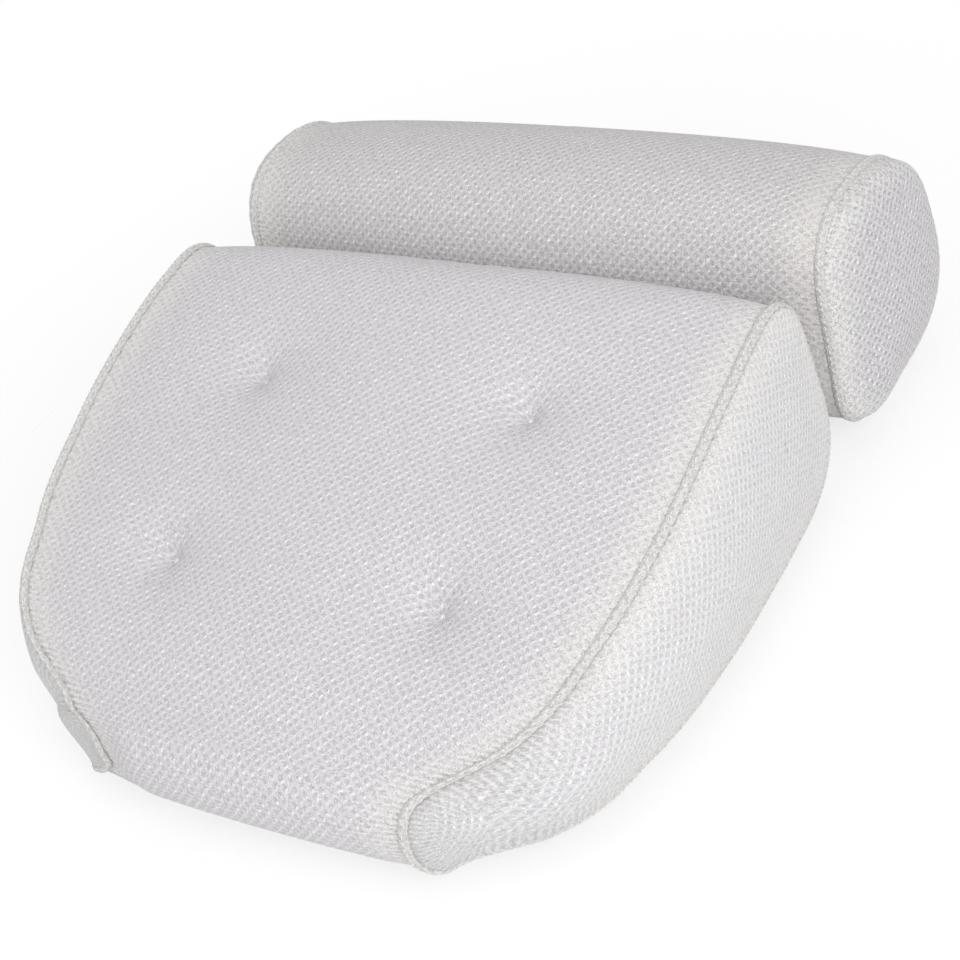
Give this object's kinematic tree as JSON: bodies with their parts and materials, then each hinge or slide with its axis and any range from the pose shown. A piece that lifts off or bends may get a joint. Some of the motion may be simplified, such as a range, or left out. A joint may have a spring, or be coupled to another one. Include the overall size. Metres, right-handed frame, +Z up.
{
  "type": "bath pillow",
  "caption": "Bath pillow in white air mesh: a tufted wedge cushion with a hinged head roll along its back edge, standing on suction cups.",
  "frame": {"origin": "centre of the pillow's bounding box in plan, on the plane of the suction cups' rims", "axes": "+X to the right of a bather, across the pillow; +Y from the low front edge back to the head roll; +Z up from the surface that the cups stand on"},
  "size_m": [0.3794, 0.4104, 0.1306],
  "materials": {
    "air_mesh": "knitted 3-D air mesh, matte, hexagonal openings",
    "side_mesh": "the same air mesh on the side and end panels",
    "binding": "mesh edge turned over the seam and stitched",
    "filling": "springy knitted polymer fibre",
    "webbing": "woven polyester tape",
    "thread": "polyester thread",
    "clear_pvc": "clear soft PVC, glossy"
  },
  "bodies": {
    "wedge": {"wedge_top_cover": "air_mesh", "wedge_base_panel": "air_mesh", "wedge_filling": "filling", "wedge_left_side_panel": "side_mesh", "wedge_left_seam_binding": "binding", "wedge_right_side_panel": "side_mesh", "wedge_right_seam_binding": "binding", "front_left_tuft_tie": "thread", "front_right_tuft_tie": "thread", "back_left_tuft_tie": "thread", "back_right_tuft_tie": "thread", "wedge_hinge_strip": "webbing", "front_left_tab": "webbing", "front_right_tab": "webbing", "back_left_tab": "webbing", "back_right_tab": "webbing"},
    "head_roll": {"roll_cover": "air_mesh", "roll_base_panel": "air_mesh", "roll_filling": "filling", "roll_left_end_panel": "side_mesh", "roll_left_seam_binding": "binding", "roll_right_end_panel": "side_mesh", "roll_right_seam_binding": "binding", "roll_hinge_strip": "webbing", "roll_left_tab": "webbing", "roll_right_tab": "webbing"},
    "front_left_cup": {"front_left_suction_cup": "clear_pvc"},
    "front_right_cup": {"front_right_suction_cup": "clear_pvc"},
    "back_left_cup": {"back_left_suction_cup": "clear_pvc"},
    "back_right_cup": {"back_right_suction_cup": "clear_pvc"},
    "roll_left_cup": {"roll_left_suction_cup": "clear_pvc"},
    "roll_right_cup": {"roll_right_suction_cup": "clear_pvc"}
  },
  "joints": [
    {"name": "head_roll_hinge", "type": "hinge", "parent": "wedge", "child": "head_roll", "pos_m": [0, 0.08425, 0.0125], "axis": [1, 0, 0], "range_deg": [-135, 3]},
    {"name": "front_left_cup_spin", "type": "hinge", "parent": "wedge", "child": "front_left_cup", "pos_m": [-0.085, -0.15025, 0], "axis": [0, 0, 1], "continuous": true},
    {"name": "front_right_cup_spin", "type": "hinge", "parent": "wedge", "child": "front_right_cup", "pos_m": [0.085, -0.15025, 0], "axis": [0, 0, 1], "continuous": true},
    {"name": "back_left_cup_spin", "type": "hinge", "parent": "wedge", "child": "back_left_cup", "pos_m": [-0.11, 0.01525, 0], "axis": [0, 0, 1], "continuous": true},
    {"name": "back_right_cup_spin", "type": "hinge", "parent": "wedge", "child": "back_right_cup", "pos_m": [0.11, 0.01525, 0], "axis": [0, 0, 1], "continuous": true},
    {"name": "roll_left_cup_spin", "type": "hinge", "parent": "head_roll", "child": "roll_left_cup", "pos_m": [-0.1, 0.14575, 0], "axis": [0, 0, 1], "continuous": true},
    {"name": "roll_right_cup_spin", "type": "hinge", "parent": "head_roll", "child": "roll_right_cup", "pos_m": [0.1, 0.14575, 0], "axis": [0, 0, 1], "continuous": true}
  ]
}
